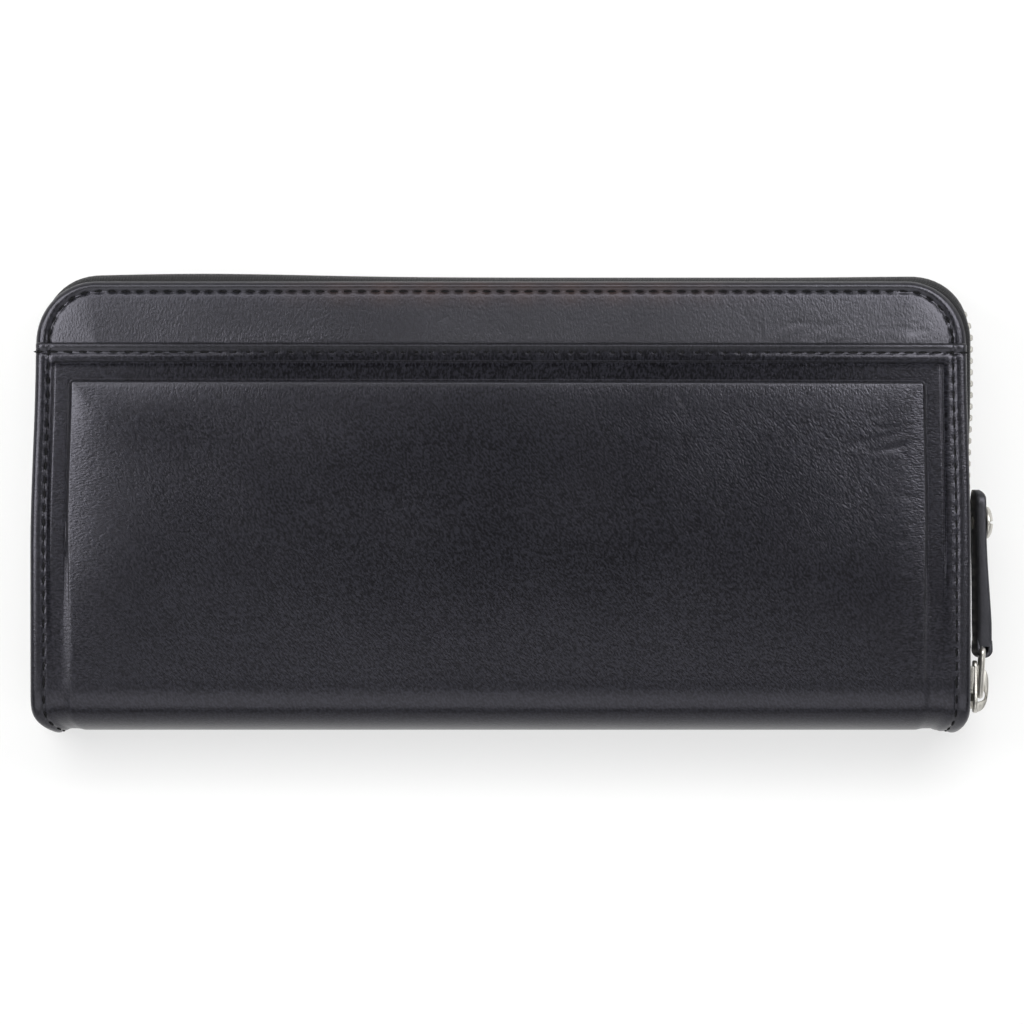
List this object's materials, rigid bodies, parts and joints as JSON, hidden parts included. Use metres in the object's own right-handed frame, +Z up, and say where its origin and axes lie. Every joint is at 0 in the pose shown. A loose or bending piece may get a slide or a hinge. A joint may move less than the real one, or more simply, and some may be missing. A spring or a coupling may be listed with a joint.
{
  "type": "long wallet",
  "caption": "Zip-around long wallet in black leather with an outer slip pocket, accordion compartments, stepped card slots, an inner zip coin pocket and a riveted leather zip pull.",
  "frame": {"origin": "middle of the front cover's flat raised field, on the surface that the closed wallet lies on", "axes": "+X along the spine to the wallet's right, +Y from the spine to the zip's long run, +Z up out of the rear cover with the slip pocket"},
  "size_m": [0.2115, 0.0988, 0.0271],
  "materials": {
    "outer_leather": "smooth black leather, satin",
    "inner_leather": "thin black leather, matt",
    "lining_cloth": "woven black lining",
    "stiffener_board": "pressed fibre board",
    "zip_tape": "black woven tape",
    "zip_metal": "nickel plate, a little worn"
  },
  "bodies": {
    "front_cover": {"front_outer_panel": "outer_leather", "front_board": "stiffener_board", "front_lining": "lining_cloth", "front_zip_tape": "zip_tape", "front_zip_teeth": "zip_metal", "front_card_panel": "inner_leather", "front_card_slot_1": "inner_leather", "front_card_slot_2": "inner_leather", "front_card_slot_3": "inner_leather", "front_card_slot_4": "inner_leather", "front_gusset_left": "lining_cloth", "front_gusset_right": "lining_cloth", "spine_hide": "outer_leather", "spine_lining": "lining_cloth"},
    "coin_pocket": {"coin_front_leaf": "inner_leather", "coin_rear_leaf": "inner_leather", "coin_pocket_wall": "lining_cloth", "coin_front_tape": "zip_tape", "coin_rear_tape": "zip_tape", "coin_front_teeth": "zip_metal", "coin_rear_teeth": "zip_metal"},
    "rear_cover": {"rear_yoke": "outer_leather", "rear_pocket_panel": "outer_leather", "rear_pocket_board": "stiffener_board", "slip_pocket_lining": "lining_cloth", "rear_board": "stiffener_board", "rear_lining": "lining_cloth", "rear_zip_tape": "zip_tape", "rear_zip_teeth": "zip_metal", "rear_card_panel": "inner_leather", "rear_card_slot_1": "inner_leather", "rear_card_slot_2": "inner_leather", "rear_card_slot_3": "inner_leather", "rear_card_slot_4": "inner_leather", "rear_gusset_left": "lining_cloth", "rear_gusset_right": "lining_cloth"},
    "zip_slider": {"zip_slider": "zip_metal"},
    "pull_ring": {"pull_ring": "zip_metal"},
    "pull_tab": {"pull_strap": "outer_leather", "pull_rivet": "zip_metal"},
    "coin_slider": {"coin_slider": "zip_metal"},
    "coin_pull": {"coin_pull": "zip_metal"}
  },
  "joints": [
    {"name": "front_compartment_open", "type": "hinge", "parent": "front_cover", "child": "coin_pocket", "pos_m": [0, -0.04845, 0.01358], "axis": [1, 0, 0], "range_deg": [0, 45], "deforming": ["spine_hide", "spine_lining", "front_gusset_left", "front_gusset_right"]},
    {"name": "rear_compartment_open", "type": "hinge", "parent": "coin_pocket", "child": "rear_cover", "pos_m": [0, -0.04845, 0.01358], "axis": [1, 0, 0], "range_deg": [0, 45], "deforming": ["rear_gusset_left", "rear_gusset_right"]},
    {"name": "zip_slide", "type": "slide", "parent": "front_cover", "child": "zip_slider", "axis": [0, 1, 0], "range_m": [0, 0.066], "deforming": ["front_zip_teeth", "rear_zip_teeth"]},
    {"name": "pull_ring_swing", "type": "hinge", "parent": "zip_slider", "child": "pull_ring", "pos_m": [0.1052, -0.04145, 0.01358], "axis": [0, 0, -1], "range_deg": [0, 140]},
    {"name": "pull_tab_swing", "type": "hinge", "parent": "pull_ring", "child": "pull_tab", "pos_m": [0.10546, -0.03145, 0.01358], "axis": [0, 0, -1], "range_deg": [0, 45]},
    {"name": "coin_zip_slide", "type": "slide", "parent": "coin_pocket", "child": "coin_slider", "axis": [-1, 0, 0], "range_m": [0, 0.16], "deforming": ["coin_front_teeth", "coin_rear_teeth"]},
    {"name": "coin_pull_swing", "type": "hinge", "parent": "coin_slider", "child": "coin_pull", "pos_m": [0.084, 0.03185, 0.01265], "axis": [0, 0, -1], "range_deg": [0, 160]}
  ]
}
